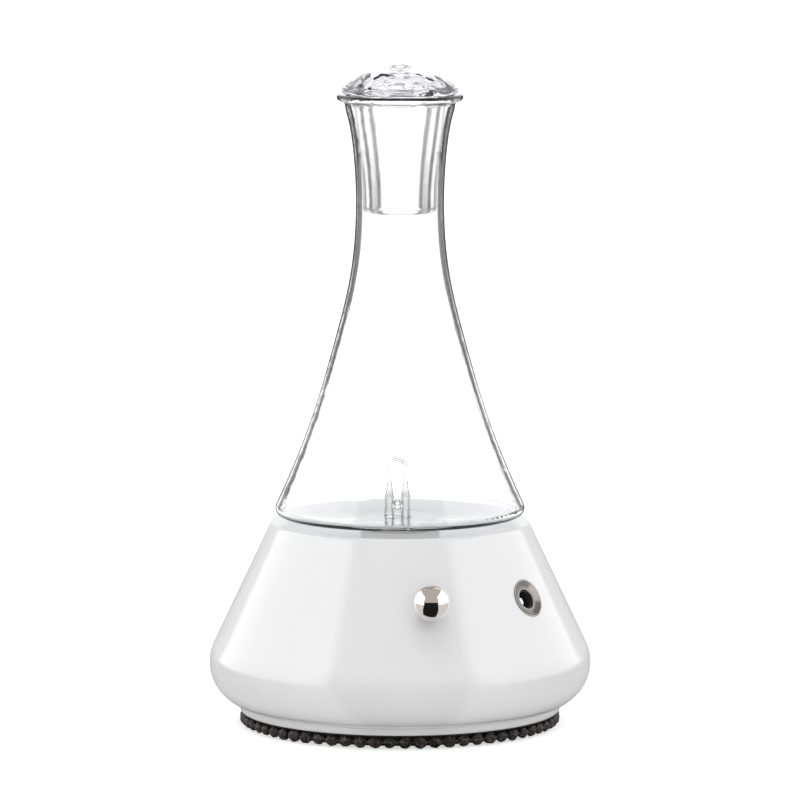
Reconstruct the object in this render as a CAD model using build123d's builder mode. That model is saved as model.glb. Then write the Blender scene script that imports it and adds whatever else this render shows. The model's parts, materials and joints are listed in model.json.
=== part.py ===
from build123d import *
import os
from math import atan2, cos, degrees, radians, sin, sqrt, tan

os.makedirs("parts", exist_ok=True)

# Essential oil diffuser. A glass flask with an atomiser inside stands on a round ceramic base, and
# an air pump in the base blows through the flask's nipple. Sizes are in millimetres. The origin is
# the centre of the plane that the feet stand on, +Z is up, and the control knob faces -Y.

# ------------------------------------------------------------------ driving dimensions

# Ceramic shell: a low foot, a round belly and a straight cone up to the shoulder
RIM_Z = 4.75
FOOT_R = 53.7
BELLY_CENTRE = (49.5, 20.9)
BELLY_ARC = 14.5
CONE_LEAN = 25.3
SHOULDER_Z = 68.5
SHOULDER_ROUND, FOOT_ROUND = 1.2, 0.5
SEAT_R, SEAT_Z = 13.0, 66.1
SHELL_WALL = 4.0
SHELL_FOOT_BORE = 49.2
CEILING_Z = 62.0
SOCKET_HOLE_R = 9.0

# Glass flask: floor, outside of the wall from the floor corner to the neck, and the rolled lip
GLASS = 1.5
FLASK_FLOOR_Z = 68.1
FLASK_CORNER = (39.2, 73.0)
FLASK_CORNER_ARC = 2.5
FLASK_WALL_LEAN = 24.6
FLASK_WALL = [(34.5, 90), (27.3, 110), (21.6, 130), (16.8, 150), (14.8, 170), (15.35, 190)]
NECK_TOP = (17.95, 205.7)
LIP_CENTRE = (20.0, 210.65)
LIP_ARC = 1.1
NIPPLE_TOP_R, NIPPLE_TIP_R, NIPPLE_TIP_Z, NIPPLE_BORE_R = 4.5, 4.2, 50.0, 2.8

# Atomiser: an upright oil riser and an air tube that bends over its tip, turned about the axis
NOZZLE_TURN = -10.0
RISER_X, RISER_TIP_Z = -3.5, 89.5
AIR_X, AIR_BEND_R, AIR_TIP_X, AIR_TIP_Z = 1.85, 2.2, -2.5, 89.35
AIR_TIP_RISE = 18.0
TUBE_R, TUBE_BORE_R, TUBE_SHOULDER_Z = 1.55, 0.9, 76.0
TIP_R, TIP_BORE_R = 0.6, 0.3
WEB_Z, WEB_R, WEB_BALL_R, WEB_HOLE_R = 73.6, 1.2, 1.6, 0.3

# Glass stopper: a hollow sleeve in the neck, a flange on the lip and a domed cap with a vent
SLEEVE_WALL = [(12.35, 173.6), (13.0, 188.2), (14.45, 200.4), (15.75, 210.2)]
SLEEVE_GLASS, SLEEVE_RIM = 4.4, 1.4
FLANGE_R, FLANGE_LOW_Z, FLANGE_HIGH_Z = 19.5, 211.85, 214.25
CAP_BALL_R, CAP_TOP_Z, CAP_GLASS = 30.0, 221.0, 1.9
VENT_TOP_Z, VENT_RIM_R, VENT_TUBE_R, VENT_BORE_R, VENT_TUBE_LOW_Z = 221.35, 3.75, 3.35, 2.0, 217.2

# Socket for the flask's nipple, with a hose barb under it
SOCKET_TIP_Z, SOCKET_FLOOR_Z, BARB_LOW_Z = 47.0, 49.0, 41.0

# Base plate, its feet and fasteners, and the mounting ring bonded inside the ceramic foot
PLATE_R, PLATE_LOW_Z, PLATE_TOP_Z = 50.6, 0.8, 4.35
RING_IN_R, RING_OUT_R, RING_TOP_Z = 43.0, 49.0, 12.0
BOSS_R, BOSS_CIRCLE_R = 4.0, 42.5
FEET_R, FEET_CIRCLE_R, FEET_TOP_Z = 6.0, 38.0, 1.5
GASKET_IN_R, GASKET_OUT_R = 46.8, 53.2
SCREW_R, PILOT_R = 1.2, 1.25
SCREW_SMALL_R, PILOT_SMALL_R = 0.9, 0.95

# Bead skirt
BEAD_COUNT, BEAD_CIRCLE_R, BEAD_Z = 66, 52.3, 2.25
BEAD_HALF = (1.5, 2.45, 2.05)
CORD_R = 0.35

# Control knob and its potentiometer; lengths run outward from where the axis leaves the cone
KNOB_Z, KNOB_HOLE_R = 47.0, 3.5
BALL_R, BALL_CENTRE, BALL_BACK = 6.1, 6.0, 0.5
BRACKET_FACE, BRACKET_T = -8.0, 1.2
POT_BACK, POT_R, BUSHING_R = -20.0, 8.25, 3.5
POT_SHAFT_R, SHAFT_FLAT, SHAFT_IN, SHAFT_OUT = 3.0, 1.6, -17.6, 5.0

# Power jack, with its lengths measured the same way
JACK_Z, JACK_AZIMUTH, JACK_HOLE_R = 47.2, 43.0, 4.4
BEZEL_R, BEZEL_T = 6.5, 1.2
BARREL_R, BARREL_BORE_R, BARREL_OUT, BARREL_IN = 4.15, 3.25, -0.8, -12.0
JACK_BODY_R, JACK_BODY_FRONT, JACK_BODY_BACK = 6.0, -6.8, -18.0
LINER_BORE_R, LINER_OUT = 2.85, -1.5
PIN_R, PIN_TIP = 1.05, -3.0
TAB_LENGTH, TAB_STEP = 4.0, 4.0

# Pump: a motor along X, and a crank housing with a valve head on top of it
PUMP_Y, MOTOR_Z = 18.0, 20.0
CAN_R, CAN_X0, CAN_X1 = 12.2, -32.0, -1.0
BEARING_R, END_CAP_X, BRUSH_STEP = 3.0, -29.2, 5.0
ROTOR_X0, ROTOR_X1, ROTOR_R = -22.0, -9.0, 8.2
HOUSING_X0, HOUSING_X1, HOUSING_HALF_Y = -1.0, 21.0, 12.0
HOUSING_LOW_Z, HOUSING_TOP_Z, VALVE_TOP_Z, HEAD_TOP_Z = 8.0, 31.0, 36.0, 41.0
HOUSING_WALL = 2.0
SHAFT_R = 1.0
THROW = 1.2
ECCENTRIC_X0, ECCENTRIC_X1, CRANK_PIN_X1 = 2.6, 6.0, 11.5
CRANK_PIN_R, BUSH_R, ROD_END_R, ROD_X0, ROD_X1 = 2.5, 4.0, 6.5, 7.0, 11.0
DIAPHRAGM_R, DIAPHRAGM_T, DIAPHRAGM_BOSS_Z = 10.0, 1.0, 28.5
CHAMBER_R, CHAMBER_TOP_Z = 8.5, 34.0
PORT_STEP, PORT_R = 5.0, 1.2
OUTLET_Z, BARB_X0 = 38.5, -7.0
CUP_R, CUP_TOP_Z = 5.5, 44.0

# Pump cradle with a rubber pad, and the strap over the motor
CRADLE_X0, CRADLE_X1, CRADLE_TOP_Z, PAD_T = -30.0, -6.0, 12.0, 1.2
STRAP_X, STRAP_W, STRAP_T, STRAP_SCREW_STEP = -16.0, 8.0, 0.8, 16.5

# Control board
BOARD_HALF_X, BOARD_Y0, BOARD_Y1, BOARD_Z, BOARD_T = 20.0, -34.0, -10.0, 9.0, 1.6
CONNECTOR_H = 6.0

# Hose and wires
HOSE_R, HOSE_BORE_R, BARB_R = 3.0, 2.0, 1.97
WIRE_R = 0.6

# Fits, as radial gaps
SEATED = 0.02
RUNNING = 0.04
LOOSE = 0.1

# ------------------------------------------------------------------ derived places

lean = radians(CONE_LEAN)
cone_foot_r = BELLY_CENTRE[0] + BELLY_ARC * cos(lean)
cone_foot_z = BELLY_CENTRE[1] + BELLY_ARC * sin(lean)
wall_across = SHELL_WALL / cos(lean)


def cone_r(z):
    """Radius of the shell's outer cone at a height."""
    return cone_foot_r - (z - cone_foot_z) * tan(lean)


def plane_on_cone(azimuth, z):
    """Plane that touches the cone, local z along the outward normal; azimuth 0 faces -Y."""
    turn = radians(azimuth)
    out = Vector(sin(turn), -cos(turn), 0)
    return Plane(
        origin=out * cone_r(z) + Vector(0, 0, z),
        x_dir=(cos(turn), sin(turn), 0),
        z_dir=out * cos(lean) + Vector(0, 0, sin(lean)),
    )


knob_plane = plane_on_cone(0, KNOB_Z)
jack_plane = plane_on_cone(JACK_AZIMUTH, JACK_Z)
nozzle_turn = radians(NOZZLE_TURN)
nozzle_plane = Plane(
    origin=(0, 0, 0),
    x_dir=(cos(nozzle_turn), sin(nozzle_turn), 0),
    z_dir=(sin(nozzle_turn), -cos(nozzle_turn), 0),
)
motor_plane = Plane(origin=(0, PUMP_Y, MOTOR_Z), x_dir=(0, 1, 0), z_dir=(1, 0, 0))
housing_mid_x = (HOUSING_X0 + HOUSING_X1) / 2
housing_size_x = HOUSING_X1 - HOUSING_X0
pump_plane = Plane(origin=(housing_mid_x, PUMP_Y, 0))


# ------------------------------------------------------------------ shared shapes


def disc(plane, radius, low, high, bore=0.0, mode=Mode.ADD):
    """Round slab along a plane's normal, from low to high, with an optional bore."""
    with BuildSketch(plane.offset(low)) as outline:
        Circle(radius)
        if bore:
            Circle(bore, mode=Mode.SUBTRACT)
    extrude(outline.sketch, amount=high - low, mode=mode)


def block(plane, size_x, size_y, low, high, centre=(0, 0), corner=0.0, mode=Mode.ADD):
    """Rectangular slab along a plane's normal, from low to high, with optional round corners."""
    with BuildSketch(plane.offset(low)) as outline:
        with Locations(centre):
            if corner:
                RectangleRounded(size_x, size_y, corner)
            else:
                Rectangle(size_x, size_y)
    extrude(outline.sketch, amount=high - low, mode=mode)


def pegs(plane, places, radius, low, high, mode=Mode.ADD):
    """Equal round pegs, or holes, at places on a plane."""
    with BuildSketch(plane.offset(low)) as outline:
        with Locations(*places):
            Circle(radius)
    extrude(outline.sketch, amount=high - low, mode=mode)


def spin(points, mode=Mode.ADD, plane=Plane.XZ, axis=Axis.Z):
    """Solid of revolution from a closed outline of straight lines, given as radius and height."""
    with BuildSketch(plane) as outline:
        with BuildLine():
            Polyline(*points, close=True)
        make_face()
    revolve(outline.sketch, axis=axis, mode=mode)


def screws(plane, places, shank_r, tip, seat, head_r, head_high):
    """Pan head screws whose heads stand on the height called seat, with a cross recess."""
    pegs(plane, places, shank_r, tip, seat)
    pegs(plane, places, head_r, seat, seat + head_high)
    with BuildSketch(plane.offset(seat + head_high)) as recess:
        with Locations(*places):
            Rectangle(head_r * 1.1, head_r * 0.25)
            Rectangle(head_r * 0.25, head_r * 1.1)
    extrude(recess.sketch, amount=-head_high / 2, mode=Mode.SUBTRACT)


def around(radius, count, first=0.0):
    """Places evenly spaced on a circle, as x and y."""
    turns = [radians(first + 360 * i / count) for i in range(count)]
    return [(radius * cos(turn), radius * sin(turn)) for turn in turns]


def wire(points, leaves):
    """Insulated wire on a smooth curve that leaves its first point one way and ends straight down."""
    with BuildLine() as path:
        Spline(*points, tangents=(leaves, (0, 0, -1)))
    with BuildSketch(Plane(origin=path.line @ 0, z_dir=path.line % 0)) as section:
        Circle(WIRE_R)
    sweep(section.sketch, path=path.line)


# ------------------------------------------------------------------ ceramic shell

with BuildPart() as ceramic_shell:
    with BuildSketch(Plane.XZ):
        with BuildLine():
            crease = degrees(atan2(
                -sqrt(BELLY_ARC**2 - (FOOT_R - BELLY_CENTRE[0]) ** 2), FOOT_R - BELLY_CENTRE[0]
            ))
            belly = CenterArc(BELLY_CENTRE, BELLY_ARC, crease, CONE_LEAN - crease)
            Line((FOOT_R, RIM_Z), belly @ 0)
            inner_arc = BELLY_ARC - SHELL_WALL
            hollow = CenterArc(BELLY_CENTRE, inner_arc, -90, CONE_LEAN + 90)
            Polyline(
                belly @ 1,
                (cone_r(SHOULDER_Z), SHOULDER_Z),
                (SEAT_R, SEAT_Z),
                (SOCKET_HOLE_R, SEAT_Z),
                (SOCKET_HOLE_R, CEILING_Z),
                (cone_r(CEILING_Z) - wall_across, CEILING_Z),
                hollow @ 1,
            )
            Polyline(
                hollow @ 0,
                (SHELL_FOOT_BORE, BELLY_CENTRE[1] - inner_arc),
                (SHELL_FOOT_BORE, RIM_Z),
                (FOOT_R, RIM_Z),
            )
        make_face()
    revolve(axis=Axis.Z)
    shoulder_edge = ceramic_shell.edges().filter_by(GeomType.CIRCLE).group_by(Axis.Z)[-1]
    fillet(shoulder_edge, SHOULDER_ROUND)
    foot_edge = ceramic_shell.edges().filter_by(GeomType.CIRCLE).group_by(Axis.Z)[0]
    fillet(foot_edge.sort_by(SortBy.RADIUS)[-1], FOOT_ROUND)
    disc(knob_plane, KNOB_HOLE_R, -8, 4, mode=Mode.SUBTRACT)
    disc(jack_plane, JACK_HOLE_R, -8, 4, mode=Mode.SUBTRACT)
    disc(jack_plane, BEZEL_R + LOOSE, -BEZEL_T - LOOSE, 4, mode=Mode.SUBTRACT)
ceramic_shell.part.label = "ceramic_shell"
export_step(ceramic_shell.part, "parts/ceramic_shell.step")

# ------------------------------------------------------------------ glass flask with its atomiser

floor_rise = degrees(atan2(
    FLASK_CORNER[1] - FLASK_CORNER_ARC - FLASK_FLOOR_Z, FLASK_CORNER[0] - SEAT_R
))
floor_glass = GLASS / cos(radians(floor_rise))


def atomiser_tube(x, low, foot_r, tip_r, top):
    """Upright tube or bore that narrows in two steps, on the atomiser's plane."""
    axis = Axis(tuple(nozzle_plane.from_local_coords(Vector(x, 0, 0))), (0, 0, 1))
    outline = [
        (x, low), (x + foot_r, low), (x + foot_r, TUBE_SHOULDER_Z),
        (x + (foot_r + tip_r) / 2, TUBE_SHOULDER_Z + 2.4), (x + tip_r, TUBE_SHOULDER_Z + 6),
        (x + tip_r, top), (x, top),
    ]
    return outline, axis


with BuildPart() as glass_reservoir:
    with BuildSketch(Plane.XZ):
        with BuildLine():
            sweep_angle = 90 - floor_rise + FLASK_WALL_LEAN
            corner = CenterArc(FLASK_CORNER, FLASK_CORNER_ARC, floor_rise - 90, sweep_angle)
            inner_corner = CenterArc(
                FLASK_CORNER, FLASK_CORNER_ARC - GLASS, floor_rise - 90, sweep_angle
            )
            neck_flare = Vector(0.32, 1).normalized()
            wall = Spline(
                corner @ 1, *FLASK_WALL, NECK_TOP, tangents=(corner % 1, neck_flare)
            )
            inward = [wall @ t + (wall % t).rotate(Axis.Z, 90) * GLASS for t in
                      (1.0, 0.875, 0.75, 0.625, 0.5, 0.375, 0.25, 0.125)]
            inner_wall = Spline(
                *inward, inner_corner @ 1, tangents=(-neck_flare, -(inner_corner % 1))
            )
            lip_low = (LIP_CENTRE[0], LIP_CENTRE[1] - LIP_ARC)
            lip_high = (LIP_CENTRE[0], LIP_CENTRE[1] + LIP_ARC)
            Spline(NECK_TOP, lip_low, tangents=(neck_flare, (1, 0)))
            ThreePointArc(lip_low, (LIP_CENTRE[0] + LIP_ARC, LIP_CENTRE[1]), lip_high)
            Spline(lip_high, inner_wall @ 0, tangents=((-1, 0), -neck_flare))
            Polyline(
                corner @ 0, (SEAT_R, FLASK_FLOOR_Z), (0, FLASK_FLOOR_Z),
                (0, FLASK_FLOOR_Z + floor_glass), (SEAT_R, FLASK_FLOOR_Z + floor_glass),
                inner_corner @ 0,
            )
        make_face()
    revolve(axis=Axis.Z)
    spin([(0, NIPPLE_TIP_Z), (NIPPLE_TIP_R, NIPPLE_TIP_Z), (NIPPLE_TOP_R, FLASK_FLOOR_Z + 0.5),
          (0, FLASK_FLOOR_Z + 0.5)])
    # The two tubes, and the web with a glass bead that joins them
    tube_foot_z = FLASK_FLOOR_Z + 1
    bend_z = AIR_TIP_Z - AIR_BEND_R * cos(radians(AIR_TIP_RISE)) - tan(radians(AIR_TIP_RISE)) * (
        AIR_X - AIR_BEND_R + AIR_BEND_R * sin(radians(AIR_TIP_RISE)) - AIR_TIP_X
    )
    for tube_x, tube_top in ((RISER_X, RISER_TIP_Z), (AIR_X, bend_z)):
        tube_outline, tube_axis = atomiser_tube(tube_x, tube_foot_z, TUBE_R, TIP_R, tube_top)
        spin(tube_outline, plane=nozzle_plane, axis=tube_axis)
    web_middle = nozzle_plane.from_local_coords(Vector((RISER_X + AIR_X) / 2, WEB_Z, 0))
    web_reach = (AIR_X - RISER_X) / 2
    disc(Plane(origin=web_middle, z_dir=nozzle_plane.x_dir), WEB_R, -web_reach, web_reach)
    with Locations(web_middle):
        Sphere(WEB_BALL_R)
    with BuildLine(nozzle_plane) as bend:
        turn = CenterArc((AIR_X - AIR_BEND_R, bend_z), AIR_BEND_R, 0, 90 - AIR_TIP_RISE)
        Line(turn @ 1, (AIR_TIP_X, AIR_TIP_Z))
    bend_start = Plane(origin=bend.line @ 0, z_dir=bend.line % 0)
    with BuildSketch(bend_start) as bend_outside:
        Circle(TIP_R)
    sweep(bend_outside.sketch, path=bend.line)
    web_hole_plane = Plane(origin=web_middle, z_dir=nozzle_plane.z_dir)
    disc(web_hole_plane, WEB_HOLE_R, -2 * WEB_BALL_R, 2 * WEB_BALL_R, mode=Mode.SUBTRACT)
    # Air way: nipple, air tube and its tip. Oil way: the riser and a hole at its foot
    disc(Plane.XY, NIPPLE_BORE_R, NIPPLE_TIP_Z, 67.2, mode=Mode.SUBTRACT)
    for bore_x, bore_foot_z, bore_top in ((RISER_X, tube_foot_z + 1, RISER_TIP_Z), (AIR_X, 67, bend_z)):
        bore_outline, bore_axis = atomiser_tube(
            bore_x, bore_foot_z, TUBE_BORE_R, TIP_BORE_R, bore_top
        )
        spin(bore_outline, mode=Mode.SUBTRACT, plane=nozzle_plane, axis=bore_axis)
    with BuildSketch(bend_start) as bend_bore:
        Circle(TIP_BORE_R)
    sweep(bend_bore.sketch, path=bend.line, mode=Mode.SUBTRACT)
    intake_plane = Plane(
        origin=nozzle_plane.from_local_coords(Vector(RISER_X, FLASK_FLOOR_Z + floor_glass + 1.1, 0)),
        z_dir=-nozzle_plane.x_dir,
    )
    disc(intake_plane, 0.5, 0, 2, mode=Mode.SUBTRACT)
glass_reservoir.part.label = "glass_reservoir"
export_step(glass_reservoir.part, "parts/glass_reservoir.step")

# ------------------------------------------------------------------ glass stopper

cap_centre_z = CAP_TOP_Z - CAP_BALL_R


def cap_z(r, ball_r=CAP_BALL_R):
    """Height of the cap's dome, or of the hollow under it, at a radius."""
    return cap_centre_z + sqrt(ball_r**2 - r**2)


with BuildPart() as glass_stopper:
    with BuildSketch(Plane.XZ):
        with BuildLine():
            sleeve = Spline(*SLEEVE_WALL)
            inner_points = [sleeve @ t + (sleeve % t).rotate(Axis.Z, 90) * SLEEVE_GLASS
                            for t in (0.0, 0.33, 0.67, 0.97)]
            inner_sleeve = Spline(*inner_points)
            flange_mid_z = (FLANGE_LOW_Z + FLANGE_HIGH_Z) / 2
            flange_edge = ThreePointArc(
                (FLANGE_R - 0.9, FLANGE_LOW_Z), (FLANGE_R, flange_mid_z),
                (FLANGE_R - 0.6, FLANGE_HIGH_Z),
            )
            Polyline(sleeve @ 1, (SLEEVE_WALL[-1][0] + 0.3, FLANGE_LOW_Z), flange_edge @ 0)
            ThreePointArc(flange_edge @ 1, (11.5, cap_z(11.5)), (VENT_RIM_R, cap_z(VENT_RIM_R)))
            hollow_r = CAP_BALL_R - CAP_GLASS
            hollow_edge = (FLANGE_R - 3, cap_z(FLANGE_R - 3, hollow_r))
            hollow_mid = (10, cap_z(10, hollow_r))
            hollow_top = (VENT_TUBE_R, cap_z(VENT_TUBE_R, hollow_r))
            ThreePointArc(hollow_edge, hollow_mid, hollow_top)
            Spline(inner_sleeve @ 1, hollow_edge, tangents=(inner_sleeve % 1, (0.8, 1)))
            Polyline(
                (VENT_RIM_R, cap_z(VENT_RIM_R)), (VENT_RIM_R - 0.25, VENT_TOP_Z),
                (VENT_BORE_R + 0.3, VENT_TOP_Z), (VENT_BORE_R, VENT_TOP_Z - 0.3),
                (VENT_BORE_R, VENT_TUBE_LOW_Z), (VENT_TUBE_R, VENT_TUBE_LOW_Z), hollow_top,
            )
            rim_low = (inner_sleeve @ 0 + sleeve @ 0) / 2 - Vector(0, SLEEVE_RIM, 0)
            ThreePointArc(inner_sleeve @ 0, rim_low, sleeve @ 0)
        make_face()
    revolve(axis=Axis.Z)
glass_stopper.part.label = "glass_stopper"
export_step(glass_stopper.part, "parts/glass_stopper.step")

# ------------------------------------------------------------------ socket for the flask's nipple

flange_top_z = FLASK_FLOOR_Z - LOOSE

with BuildPart() as glass_socket:
    spin([
        (NIPPLE_TOP_R + RUNNING, flange_top_z), (SEAT_R, flange_top_z), (SEAT_R, SEAT_Z),
        (SOCKET_HOLE_R - LOOSE, SEAT_Z), (SOCKET_HOLE_R - LOOSE, 57), (6.6, 55),
        (6.6, SOCKET_TIP_Z), (BARB_R, SOCKET_TIP_Z), (BARB_R, BARB_LOW_Z), (1.1, BARB_LOW_Z),
        (1.1, SOCKET_FLOOR_Z), (NIPPLE_TIP_R + RUNNING, SOCKET_FLOOR_Z),
        (NIPPLE_TIP_R + RUNNING, NIPPLE_TIP_Z),
    ])
    fillet(glass_socket.edges().filter_by(GeomType.CIRCLE).sort_by(SortBy.RADIUS)[-1], 0.5)
glass_socket.part.label = "glass_socket"
export_step(glass_socket.part, "parts/glass_socket.step")

with BuildPart() as socket_nut:
    with BuildSketch(Plane.XY.offset(CEILING_Z - 4.5)):
        RegularPolygon(13, 6)
        Circle(SOCKET_HOLE_R - LOOSE + SEATED, mode=Mode.SUBTRACT)
    extrude(amount=4.5)
socket_nut.part.label = "socket_nut"
export_step(socket_nut.part, "parts/socket_nut.step")

# ------------------------------------------------------------------ base plate and mounting ring

boss_places = around(BOSS_CIRCLE_R, 4)
feet_places = around(FEET_CIRCLE_R, 4, first=45)
board_screw_places = [
    (x, y) for x in (2.5 - BOARD_HALF_X, BOARD_HALF_X - 2.5) for y in (BOARD_Y0 + 2.5, BOARD_Y1 - 2.5)
]
strap_screw_places = [(STRAP_X, PUMP_Y + side * STRAP_SCREW_STEP) for side in (-1, 1)]
bracket_screw_places = [(-5.0, -44.8), (5.0, -44.8)]

with BuildPart() as base_plate:
    disc(Plane.XY, PLATE_R, PLATE_LOW_Z, PLATE_TOP_Z)
    chamfer(base_plate.edges().filter_by(GeomType.CIRCLE).group_by(Axis.Z)[0], 0.5)
    pegs(Plane.XY, board_screw_places, 2.5, PLATE_TOP_Z - 1, BOARD_Z)
    pegs(Plane.XY, board_screw_places, PILOT_SMALL_R, 5.0, BOARD_Z, mode=Mode.SUBTRACT)
    pegs(Plane.XY, strap_screw_places, PILOT_R, 2.0, PLATE_TOP_Z, mode=Mode.SUBTRACT)
    pegs(Plane.XY, boss_places, 1.6, PLATE_LOW_Z, PLATE_TOP_Z, mode=Mode.SUBTRACT)
    pegs(Plane.XY, boss_places, 3.0, PLATE_LOW_Z, 2.7, mode=Mode.SUBTRACT)
    pegs(Plane.XY, feet_places, FEET_R + LOOSE, PLATE_LOW_Z, FEET_TOP_Z, mode=Mode.SUBTRACT)
    # Air inlet slots under the open side of the pump
    with BuildSketch(Plane.XY.offset(PLATE_LOW_Z)):
        with GridLocations(5.5, 0, 5, 1):
            SlotOverall(14, 2.4, rotation=90)
    extrude(amount=PLATE_TOP_Z - PLATE_LOW_Z, mode=Mode.SUBTRACT)
base_plate.part.label = "base_plate"
export_step(base_plate.part, "parts/base_plate.step")

with BuildPart() as mounting_ring:
    disc(Plane.XY, RING_OUT_R, RIM_Z, RING_TOP_Z, bore=RING_IN_R)
    pegs(Plane.XY, boss_places, BOSS_R, PLATE_TOP_Z, RING_TOP_Z)
    pegs(Plane.XY, boss_places, PILOT_R, PLATE_TOP_Z, 11.0, mode=Mode.SUBTRACT)
    pegs(Plane.XY, bracket_screw_places, PILOT_SMALL_R, 6.0, RING_TOP_Z, mode=Mode.SUBTRACT)
mounting_ring.part.label = "mounting_ring"
export_step(mounting_ring.part, "parts/mounting_ring.step")

with BuildPart() as base_screws:
    pegs(Plane.XY, boss_places, SCREW_R, 2.7, 10.4)
    pegs(Plane.XY, boss_places, 2.75, 1.0, 2.7)
    with BuildSketch(Plane.XY.offset(1.0)):
        with Locations(*boss_places):
            Rectangle(3.0, 0.7)
            Rectangle(0.7, 3.0)
    extrude(amount=0.9, mode=Mode.SUBTRACT)
base_screws.part.label = "base_screws"
export_step(base_screws.part, "parts/base_screws.step")

with BuildPart() as rubber_feet:
    pegs(Plane.XY, feet_places, FEET_R, 0, FEET_TOP_Z)
    chamfer(rubber_feet.edges().filter_by(GeomType.CIRCLE).group_by(Axis.Z)[0], 0.3)
rubber_feet.part.label = "rubber_feet"
export_step(rubber_feet.part, "parts/rubber_feet.step")

with BuildPart() as foot_gasket:
    disc(Plane.XY, GASKET_OUT_R, PLATE_TOP_Z, RIM_Z, bore=GASKET_IN_R)
foot_gasket.part.label = "foot_gasket"
export_step(foot_gasket.part, "parts/foot_gasket.step")

# ------------------------------------------------------------------ bead skirt

bead_ball = scale(Sphere(1, mode=Mode.PRIVATE), by=BEAD_HALF, mode=Mode.PRIVATE)
bead_bore = Cylinder(CORD_R + LOOSE, 6, rotation=(90, 0, 0), mode=Mode.PRIVATE)
bead = bead_ball - bead_bore

with BuildPart() as stone_beads:
    with Locations((0, 0, BEAD_Z)):
        with PolarLocations(BEAD_CIRCLE_R, BEAD_COUNT):
            add(bead)
stone_beads.part.label = "stone_beads"
export_step(stone_beads.part, "parts/stone_beads.step")

with BuildPart() as bead_cord:
    with BuildSketch(Plane.XZ):
        with Locations((BEAD_CIRCLE_R, BEAD_Z)):
            Circle(CORD_R)
    revolve(axis=Axis.Z)
bead_cord.part.label = "bead_cord"
export_step(bead_cord.part, "parts/bead_cord.step")

# ------------------------------------------------------------------ pump motor

motor_screw_places = [(-6.0, 0.0), (6.0, 0.0)]

with BuildPart() as motor_can:
    disc(motor_plane, CAN_R, CAN_X0, CAN_X1)
    disc(motor_plane, CAN_R - 1, CAN_X0, CAN_X1 - 1.2, mode=Mode.SUBTRACT)
    disc(motor_plane, BEARING_R + SEATED, CAN_X0, CAN_X1, mode=Mode.SUBTRACT)
    pegs(motor_plane, motor_screw_places, PILOT_R, CAN_X0, CAN_X1, mode=Mode.SUBTRACT)
motor_can.part.label = "motor_can"
export_step(motor_can.part, "parts/motor_can.step")

with BuildPart() as motor_end_cap:
    disc(motor_plane, CAN_R - 1 - SEATED, CAN_X0, END_CAP_X, bore=BEARING_R + SEATED)
    pegs(motor_plane, [(-BRUSH_STEP, 0), (BRUSH_STEP, 0)], 1.4, CAN_X0, END_CAP_X, mode=Mode.SUBTRACT)
motor_end_cap.part.label = "motor_end_cap"
export_step(motor_end_cap.part, "parts/motor_end_cap.step")

with BuildPart() as motor_bearings:
    disc(motor_plane, BEARING_R, CAN_X0, CAN_X0 + 2.4, bore=SHAFT_R + RUNNING)
    disc(motor_plane, BEARING_R, CAN_X1 - 2.6, CAN_X1 + 1.6, bore=SHAFT_R + RUNNING)
motor_bearings.part.label = "motor_bearings"
export_step(motor_bearings.part, "parts/motor_bearings.step")

with BuildPart() as motor_magnets:
    disc(motor_plane, CAN_R - 1 - SEATED, -26, -6, bore=ROTOR_R + 0.5)
    block(motor_plane, 9, 30, -26, -6, mode=Mode.SUBTRACT)
motor_magnets.part.label = "motor_magnets"
export_step(motor_magnets.part, "parts/motor_magnets.step")

with BuildPart() as rotor_core:
    disc(motor_plane, ROTOR_R, ROTOR_X0, ROTOR_X1, bore=SHAFT_R + SEATED)
    for slot in range(3):
        slot_turn = radians(90 + 120 * slot)
        slot_plane = Plane(
            origin=motor_plane.origin,
            x_dir=motor_plane.x_dir * cos(slot_turn) + motor_plane.y_dir * sin(slot_turn),
            z_dir=motor_plane.z_dir,
        )
        block(slot_plane, 4, 1.4, ROTOR_X0, ROTOR_X1, centre=(7, 0), mode=Mode.SUBTRACT)
        pegs(slot_plane, [(4.9, 0)], 1.9, ROTOR_X0, ROTOR_X1, mode=Mode.SUBTRACT)
rotor_core.part.label = "rotor_core"
export_step(rotor_core.part, "parts/rotor_core.step")

with BuildPart() as rotor_windings:
    for x0, x1 in ((ROTOR_X0 - 3, ROTOR_X0), (ROTOR_X1, ROTOR_X1 + 2.5)):
        disc(motor_plane, 7, x0, x1, bore=2.2)
    fillet(rotor_windings.edges().filter_by(GeomType.CIRCLE).group_by(SortBy.RADIUS)[-1], 0.8)
rotor_windings.part.label = "rotor_windings"
export_step(rotor_windings.part, "parts/rotor_windings.step")

with BuildPart() as commutator:
    disc(motor_plane, 2.4, -28.8, ROTOR_X0 - 3.2, bore=SHAFT_R + SEATED)
commutator.part.label = "commutator"
export_step(commutator.part, "parts/commutator.step")

with BuildPart() as motor_brushes:
    for side in (-1, 1):
        block(motor_plane, 1.8, 1.6, -28.4, -26.2, centre=(side * 3.35, 0))
        block(motor_plane, 2.2, 1.2, CAN_X0 - 2.5, -27.6, centre=(side * BRUSH_STEP, 0))
motor_brushes.part.label = "motor_brushes"
export_step(motor_brushes.part, "parts/motor_brushes.step")

crank_plane = Plane(origin=(0, PUMP_Y, MOTOR_Z + THROW), x_dir=(0, 1, 0), z_dir=(1, 0, 0))

with BuildPart() as motor_shaft:
    disc(motor_plane, SHAFT_R, CAN_X0 - 1, ECCENTRIC_X1 - 0.3)
motor_shaft.part.label = "motor_shaft"
export_step(motor_shaft.part, "parts/motor_shaft.step")

with BuildPart() as eccentric:
    disc(motor_plane, 4.2, ECCENTRIC_X0, ECCENTRIC_X1)
    disc(crank_plane, CRANK_PIN_R, ECCENTRIC_X1, CRANK_PIN_X1)
    disc(motor_plane, SHAFT_R + SEATED, ECCENTRIC_X0, ECCENTRIC_X1 - 0.2, mode=Mode.SUBTRACT)
eccentric.part.label = "eccentric"
export_step(eccentric.part, "parts/eccentric.step")

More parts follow.
